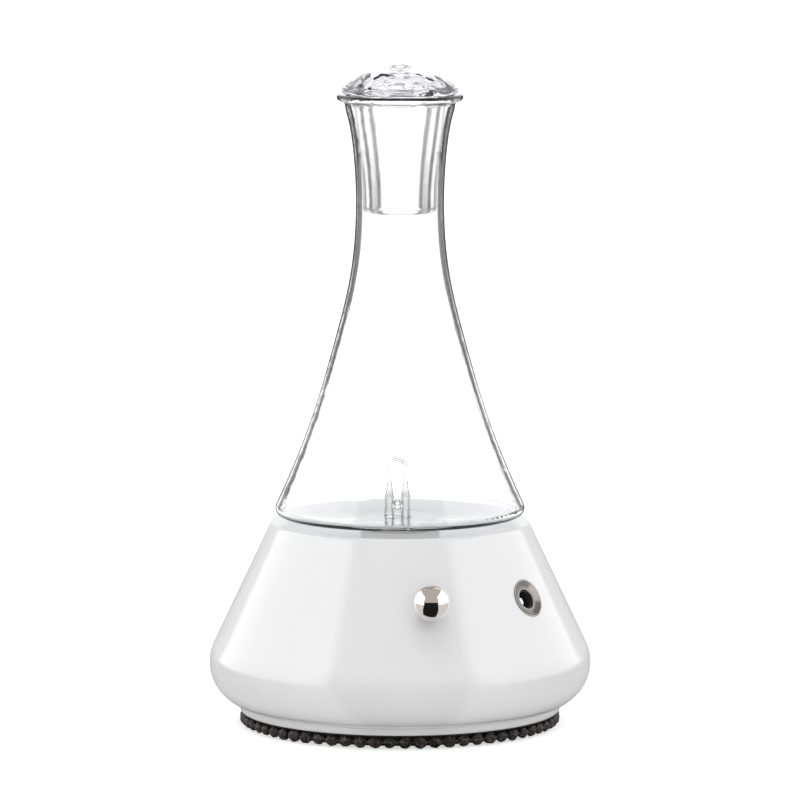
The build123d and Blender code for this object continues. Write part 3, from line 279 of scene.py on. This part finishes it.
def dark_stone():
    """Tumbled dark stone: brown-black body, paler veins, pale specks that are partly its own and
    partly painted glints, no two beads alike.
    """
    stone = Shader("dark_stone", specular_ior_level=0.4)
    own = stone.add("NewGeometry").outputs["Random Per Island"]
    shift = stone.add("CombineXYZ", {"X": own, "Y": own, "Z": own}).outputs[0]
    shifted = stone.add("VectorMath", {0: stone.place, 1: shift}, operation="ADD").outputs[0]
    grain = stone.noise(0.9, detail=8, rough=0.7, where=shifted)
    body = stone.mix(own, (0.006, 0.005, 0.006), (0.026, 0.017, 0.016))
    colour = stone.mix(stone.ramp(grain, (0.50, 0.0), (0.78, 1.0)), body, (0.30, 0.24, 0.23))
    # The pale specks are partly the stone's own and partly painted glints
    specks = stone.ramp(stone.cells(0.55, where=shifted), (0.0, 1.0), (0.10, 1.0), (0.16, 0.0))
    rare_specks_and_glints = stone.ramp(stone.noise(1.4, where=shifted), (0.55, 0.0), (0.62, 1.0))
    colour = stone.mix(stone.math("MULTIPLY", specks, rare_specks_and_glints), colour, (0.55, 0.50, 0.48))
    stone.set(base_color=colour, roughness=stone.ramp(grain, (0.3, 0.62), (0.7, 0.38)))
    stone.bump(grain, 0.25, 0.9)
    stone.bump(stone.cells(0.7, where=shifted), 0.10, 0.4)
    return stone.material


def moulded(name, colour, rough=0.45):
    """Injection moulded plastic with a fine eroded texture and slight shade changes."""
    plastic = Shader(name, specular_ior_level=0.45)
    cloud = plastic.noise(14, detail=3)
    paler = [min(1.0, c * 1.18 + 0.01) for c in colour]
    plastic.set(base_color=plastic.mix(cloud, colour, paler))
    plastic.set(roughness=plastic.ramp(cloud, (0.2, rough - 0.06), (0.8, rough + 0.08)))
    plastic.bump(plastic.noise(0.35, detail=3), 0.02, 0.6)
    return plastic.material


def rubber(name, colour):
    """Matt rubber with a dusty bloom."""
    soft = Shader(name, specular_ior_level=0.25)
    bloom = soft.noise(6, detail=6, rough=0.65)
    soft.set(base_color=soft.mix(bloom, colour, [c + 0.03 for c in colour]))
    soft.set(roughness=soft.ramp(bloom, (0.3, 0.72), (0.7, 0.9)))
    soft.bump(soft.noise(0.5), 0.03, 0.5)
    return soft.material


def silicone():
    """Cloudy translucent silicone tube."""
    tube = Shader("clear_silicone", transmission_weight=0.55, ior=1.41, subsurface_weight=0.2)
    cloud = tube.noise(5, detail=3)
    tube.set(base_color=tube.mix(cloud, (0.80, 0.82, 0.80), (0.90, 0.91, 0.89)))
    tube.set(roughness=tube.ramp(cloud, (0.2, 0.28), (0.8, 0.42)))
    tube.bump(tube.noise(1.2), 0.02, 0.4)
    return tube.material


def turned_metal(name, colour, rough):
    """Turned or drawn metal: fine grooves across its height, and patchy shine."""
    metal = Shader(name, metallic=1.0)
    grooves = metal.noise(0.12, detail=3, where=metal.scaled(0.05, 0.05, 1))
    patches = metal.noise(4, detail=5)
    darker = [c * 0.78 for c in colour]
    metal.set(base_color=metal.mix(patches, darker, colour))
    metal.set(roughness=metal.ramp(patches, (0.25, rough - 0.08), (0.75, rough + 0.1)))
    metal.bump(grooves, 0.01, 0.5)
    return metal.material


def wound_copper():
    """Enamelled wire laid round in turns."""
    coil = Shader("copper", metallic=1.0, roughness=0.28)
    turns = coil.add("TexWave", {
        "Vector": coil.place, "Scale": 1 / (1.6 * MM), "Distortion": 1.5, "Detail": 2.0,
    }, bands_direction="DIAGONAL").outputs["Fac"]
    coil.set(base_color=coil.ramp(turns, (0.0, (0.22, 0.08, 0.03)), (0.6, (0.80, 0.40, 0.20))))
    coil.bump(turns, 0.08, 0.8)
    return coil.material


def ferrite():
    """Sintered magnet: dark, granular, a little chalky."""
    magnet = Shader("dark_magnet")
    grain = magnet.noise(0.6, detail=6, rough=0.7)
    magnet.set(base_color=magnet.ramp(grain, (0.3, (0.05, 0.05, 0.055)), (0.7, (0.13, 0.13, 0.14))))
    magnet.set(roughness=magnet.ramp(grain, (0.3, 0.55), (0.7, 0.8)))
    magnet.bump(grain, 0.05, 0.6)
    return magnet.material


def circuit_board():
    """Green solder mask with paler traces under it."""
    board = Shader("board_green", roughness=0.3, coat_weight=0.4)
    lanes = board.add("TexBrick", {
        "Vector": board.place, "Scale": 1 / (6 * MM), "Mortar Size": 0.035,
        "Color1": (0.02, 0.16, 0.07), "Color2": (0.025, 0.19, 0.09), "Mortar": (0.05, 0.33, 0.15),
    }).outputs["Color"]
    weave = board.noise(0.5, detail=2)
    board.set(base_color=board.mix(board.math("MULTIPLY", weave, 0.25), lanes, (0.01, 0.09, 0.04)))
    board.bump(weave, 0.01, 0.4)
    return board.material


def foam():
    """Open-cell foam."""
    cell = Shader("foam", roughness=0.95, sheen_weight=0.3)
    pores = cell.cells(0.9, feature="DISTANCE_TO_EDGE")
    cell.set(base_color=cell.ramp(pores, (0.0, (0.34, 0.34, 0.35)), (0.25, (0.10, 0.10, 0.105))))
    cell.bump(pores, -0.3, 0.9)
    return cell.material


def waxed_cord():
    """Dark twisted cord."""
    cord = Shader("cord", roughness=0.75, sheen_weight=0.4)
    strands = cord.add("TexWave", {
        "Vector": cord.place, "Scale": 1 / (1.1 * MM), "Distortion": 0.6,
    }, bands_direction="DIAGONAL").outputs["Fac"]
    cord.set(base_color=cord.ramp(strands, (0.1, (0.015, 0.012, 0.01)), (0.8, (0.07, 0.055, 0.05))))
    cord.bump(strands, 0.08, 0.8)
    return cord.material


def glossy_skin(name, colour):
    """Soft glossy plastic, as on wires and shrink sleeves."""
    skin = Shader(name, roughness=0.3)
    cloud = skin.noise(3, detail=4)
    skin.set(base_color=skin.mix(cloud, colour, [c * 1.3 + 0.01 for c in colour]))
    skin.set(roughness=skin.ramp(cloud, (0.2, 0.24), (0.8, 0.4)))
    skin.bump(cloud, 0.02, 0.3)
    return skin.material


finishes = {
    "clear_glass": flask_glass(),
    "white_ceramic": white_ceramic(),
    # The socket's plastic is set paler than it is: painted light that makes up for the shade it
    # stands in under the glass
    "socket_plastic": moulded("socket_plastic", (0.96, 0.94, 0.85), rough=0.4),
    "white_plastic": moulded("white_plastic", (0.78, 0.78, 0.76)),
    "black_plastic": moulded("black_plastic", (0.022, 0.022, 0.024), rough=0.5),
    "black_rubber": rubber("black_rubber", (0.018, 0.018, 0.018)),
    "dark_stone": dark_stone(),
    "cord": waxed_cord(),
    "foam": foam(),
    "clear_silicone": silicone(),
    "chrome": chrome(),
    "bright_steel": turned_metal("bright_steel", (0.70, 0.71, 0.72), rough=0.26),
    "screw_steel": turned_metal("screw_steel", (0.52, 0.52, 0.53), rough=0.36),
    "brass": turned_metal("brass", (0.80, 0.62, 0.30), rough=0.3),
    "copper": wound_copper(),
    "dark_magnet": ferrite(),
    "carbon_track": rubber("carbon_track", (0.02, 0.02, 0.022)),
    "board_green": circuit_board(),
    "capacitor_sleeve": glossy_skin("capacitor_sleeve", (0.03, 0.04, 0.10)),
    "red_wire": glossy_skin("red_wire", (0.48, 0.025, 0.02)),
    "black_wire": glossy_skin("black_wire", (0.018, 0.018, 0.018)),
}

# Three pieces look different from the rest of their slot: the thick stopper, and the satin jack in
# darkened metal that is painted shade
shaded_nickel = satin_nickel()
special_finishes = {
    "glass_stopper": stopper_glass(),
    "jack_bezel": shaded_nickel,
    "jack_sleeve": shaded_nickel,
}

for subpart in frame["record"]["subparts"]:
    node = nodes[subpart["node"]]
    finish = special_finishes.get(subpart["node"], finishes[subpart["material_slot"]])
    node.data.materials.clear()
    node.data.materials.append(finish)


# ------------------------------------------------------------------ bead skirt

BEADS = 66
BEAD_DEPTH = 3.0 * MM
BEAD_LENGTH = 4.9 * MM

# A stone starts as a ball of radius 1. Its lumps are given by how far they stand out and how fine
# they are. None goes past the reach, and what lies beyond a flat is pressed in by the share worn
STONE_LUMPS = ((0.20, 1.6), (0.11, 4.5), (0.05, 11))
STONE_REACH = 1.06
FLATS, FLAT_START, SHARE_WORN = 5, 0.86, 0.8
STONE_SIZE, SIZE_SPREAD = 0.92, 0.13
TILT_SPREAD = 0.22


def flat_directions(seed):
    """Directions in which a stone is worn flat, taken from the noise."""
    for cut in range(FLATS):
        yield Vector((
            noise.noise(seed + Vector((cut, 0, 0)) * 7.7),
            noise.noise(seed + Vector((0, cut, 3)) * 5.3),
            noise.noise(seed + Vector((2, 0, cut)) * 6.1),
        )).normalized()


def stone_point(direction, seed, size, flats):
    """Point on a lumpy stone of radius 1, pressed in where it passes a worn flat."""
    lump = 1
    for height, fineness in STONE_LUMPS:
        lump += height * noise.noise(direction * fineness + seed)
    point = direction * min(lump, STONE_REACH) * size
    for flat in flats:
        over = point.dot(flat) - FLAT_START
        if over > 0:
            point -= flat * over * SHARE_WORN
    return point


def bead_ring():
    """One mesh of tumbled stones, each with its own lumps, flats and tilt."""
    low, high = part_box("stone_beads")
    middle_z = (low.z + high.z) / 2
    ring_r = high.x - BEAD_DEPTH / 2
    half = Vector((BEAD_DEPTH / 2, BEAD_LENGTH / 2, (high.z - low.z) / 2))
    mesh = bmesh.new()
    for index in range(BEADS):
        # Each stone takes its shape from a place of its own in the noise
        seed = Vector((index * 1.37, index * 2.11, index * 0.73))
        ball = bmesh.ops.create_icosphere(mesh, subdivisions=4, radius=1.0)["verts"]
        turn = Matrix.Rotation(tau * index / BEADS, 4, "Z")
        tilt = Matrix.Rotation(TILT_SPREAD * noise.noise(seed * 3.1), 4, "X")
        size = STONE_SIZE + SIZE_SPREAD * noise.noise(seed * 1.7)
        flats = list(flat_directions(seed))
        for vertex in ball:
            local = tilt @ stone_point(vertex.co, seed, size, flats)
            # No stone is longer, deeper or higher than the place it has in the ring
            held = Vector([max(-1, min(1, part)) * reach for part, reach in zip(local, half)])
            vertex.co = turn @ (held + Vector((ring_r, 0, 0))) + Vector((0, 0, middle_z))
    for face in mesh.faces:
        face.smooth = True
    data = bpy.data.meshes.new("stone_skirt")
    mesh.to_mesh(data)
    mesh.free()
    data.materials.append(finishes["dark_stone"])
    skirt = bpy.data.objects.new("stone_skirt", data)
    bpy.context.scene.collection.objects.link(skirt)
    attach(skirt, "base")
    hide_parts("stone_beads")


bead_ring()


# ------------------------------------------------------------------ studio

CAMERA_TURN = radians(-10.0)
CAMERA_PITCH = radians(7.3)
CAMERA_DISTANCE = 2.3
CAMERA_AIM = Vector((0, 0, 109.15 * MM))
CAMERA_LENS = 309.7
CAMERA_SEES_TO = 30

scene = bpy.context.scene
camera_data = bpy.data.cameras.new("studio_camera")
camera_data.lens = CAMERA_LENS
camera_data.clip_end = CAMERA_SEES_TO
camera = bpy.data.objects.new("studio_camera", camera_data)
scene.collection.objects.link(camera)
back = Vector((
    sin(CAMERA_TURN) * cos(CAMERA_PITCH), -cos(CAMERA_TURN) * cos(CAMERA_PITCH), sin(CAMERA_PITCH)
))
camera.location = CAMERA_AIM + back * CAMERA_DISTANCE
camera.rotation_mode = "QUATERNION"
camera.rotation_quaternion = (-back).to_track_quat("-Z", "Y")
scene.camera = camera

# Lights and cards hang on a stand that keeps facing the camera, as on a turntable shoot
stand = bpy.data.objects.new("light_stand", None)
scene.collection.objects.link(stand)
follow = stand.constraints.new("LOCKED_TRACK")
follow.target = camera
follow.track_axis = "TRACK_NEGATIVE_Y"
follow.lock_axis = "LOCK_Z"


def grey(value):
    """Colour of equal parts."""
    return (value, value, value)


def card(name, corners, lighting, mirrored, through_glass):
    """Flat card from corners on the stand, hidden from the camera. Its glow is given for the light
    that it throws on surfaces, for mirrors and for glass. A card that throws no light on surfaces
    doesn't shade them either."""
    data = bpy.data.meshes.new(name)
    data.from_pydata(corners, [], [range(len(corners))])
    paint = Shader(name, roughness=1.0, specular_ior_level=0.0, base_color=grey(0.004))
    glow = paint.by_ray(grey(lighting), grey(mirrored), grey(through_glass), grey(0))
    paint.set(emission_color=glow, emission_strength=1.0)
    data.materials.append(paint.material)
    made = bpy.data.objects.new(name, data)
    scene.collection.objects.link(made)
    made.parent = stand
    made.visible_camera = False
    made.visible_diffuse = lighting > 0
    made.visible_shadow = False


def upright(x0, y0, x1, y1, height, lean=0.0):
    """Corners of a card that stands on the floor, its first edge leaning in towards the second."""
    x2 = x0 + (x1 - x0) * lean
    y2 = y0 + (y1 - y0) * lean
    return [(x0, y0, CARD_FOOT), (x1, y1, CARD_FOOT), (x1, y1, height), (x2, y2, height)]


def overhead_softbox():
    """Soft light from above that mirrors don't show."""
    light = bpy.data.lights.new("overhead_softbox", "AREA")
    light.shape = "RECTANGLE"
    light.size = 0.7
    light.size_y = 0.5
    light.energy = 2.0
    made = bpy.data.objects.new("overhead_softbox", light)
    scene.collection.objects.link(made)
    made.parent = stand
    made.location = (-0.15, -0.35, 1.5)
    made.visible_glossy = False


# Places on the stand in metres: the part is in the middle, x goes right and y away from the camera
CARD_FOOT = 0.002
WALL_X, WALL_FAR_Y, WALL_HEIGHT, WALL_LEAN = 0.9, 1.44, 1.05, 0.03
WALL_LEFT_NEAR_Y, WALL_RIGHT_NEAR_Y = -0.93, -0.88
BACK_Y, BACK_X, BACK_HEIGHT = 1.5, 1.4, 1.2
FLAG_NEAR, FLAG_FAR, FLAG_HEIGHT = (0.165, 0.40), (0.40, 0.38), 0.9
DARK_Y, DARK_LEFT_X, DARK_RIGHT_X, DARK_HEIGHT = -1.6, -1.4, 1.45, 0.36
WEDGE_Y, WEDGE_LEFT_X, WEDGE_RIGHT_X, WEDGE_Z = -0.050, -0.010, 0.015, 0.001
FLOOR_REACH = 14.0


def cards():
    """White walls left, right and behind, two dark flags just outside the picture that draw the
    outlines of the glass, and the dark end of the studio, with a wedge of dark table that narrows
    from it towards the part."""
    left = upright(-WALL_X, WALL_LEFT_NEAR_Y, -WALL_X, WALL_FAR_Y, WALL_HEIGHT, WALL_LEAN)
    right = upright(WALL_X, WALL_RIGHT_NEAR_Y, WALL_X, WALL_FAR_Y, WALL_HEIGHT, WALL_LEAN)
    behind = upright(-BACK_X, BACK_Y, BACK_X, BACK_Y, BACK_HEIGHT)
    card("wall_left", left, lighting=0.54, mirrored=2.0, through_glass=0.55)
    card("wall_right", right, lighting=0.52, mirrored=1.8, through_glass=0.52)
    card("wall_back", behind, lighting=0.6, mirrored=1.2, through_glass=1.25)
    for name, side in (("flag_left", -1), ("flag_right", 1)):
        near_x, near_y = FLAG_NEAR
        far_x, far_y = FLAG_FAR
        flag = upright(side * near_x, near_y, side * far_x, far_y, FLAG_HEIGHT)
        card(name, flag, lighting=0, mirrored=0.85, through_glass=0.03)
    end = upright(DARK_LEFT_X, DARK_Y, DARK_RIGHT_X, DARK_Y, DARK_HEIGHT)
    wedge = [
        (WEDGE_LEFT_X, WEDGE_Y, WEDGE_Z), (WEDGE_RIGHT_X, WEDGE_Y, WEDGE_Z),
        (DARK_RIGHT_X, DARK_Y, WEDGE_Z), (DARK_LEFT_X, DARK_Y, WEDGE_Z),
    ]
    for name, corners in (("dark_end", end), ("dark_table", wedge)):
        card(name, corners, lighting=0, mirrored=0.01, through_glass=0.6)


cards()
overhead_softbox()


def floor():
    """Wide white floor with a faint grain. Its glow lets it fade into the backdrop."""
    data = bpy.data.meshes.new("floor")
    reach = FLOOR_REACH
    corners = [(-reach, -reach, 0), (reach, -reach, 0), (reach, reach, 0), (-reach, reach, 0)]
    data.from_pydata(corners, [], [(0, 1, 2, 3)])
    paint = Shader("floor", roughness=0.85, specular_ior_level=0.1)
    white = paint.mix(paint.noise(3), (0.83, 0.83, 0.83), (0.86, 0.86, 0.86))
    colour = paint.by_ray(
        lighting=grey(0.88), mirrored=grey(0.72), through_glass=white, seen=white)
    glow = paint.by_ray(
        lighting=grey(0), mirrored=grey(0.05), through_glass=grey(0.95), seen=grey(0.62))
    paint.set(base_color=colour, emission_color=glow, emission_strength=1.0)
    # Seen from below, the floor is clear, so that the underside can be looked at
    below = paint.add("NewGeometry").outputs["Backfacing"]
    paint.cover(below, paint.clear((1, 1, 1)))
    data.materials.append(paint.material)
    made = bpy.data.objects.new("floor", data)
    scene.collection.objects.link(made)


floor()


def room():
    """The room round it all: white to the camera, beige in mirrors, lilac grey through glass."""
    world = bpy.data.worlds.new("studio")
    scene.world = world
    world.use_nodes = True
    sky = Nodes(world.node_tree)
    glow = sky.by_ray(
        lighting=(0.98, 0.98, 0.985), mirrored=(0.50, 0.47, 0.445),
        through_glass=(0.60, 0.59, 0.61), seen=grey(1.3))
    sky.feed(world.node_tree.nodes["Background"].inputs["Color"], glow)


room()

scene.view_settings.view_transform = "Standard"
scene.cycles.max_bounces = 24
scene.cycles.transmission_bounces = 24
scene.cycles.glossy_bounces = 8
scene.cycles.diffuse_bounces = 4
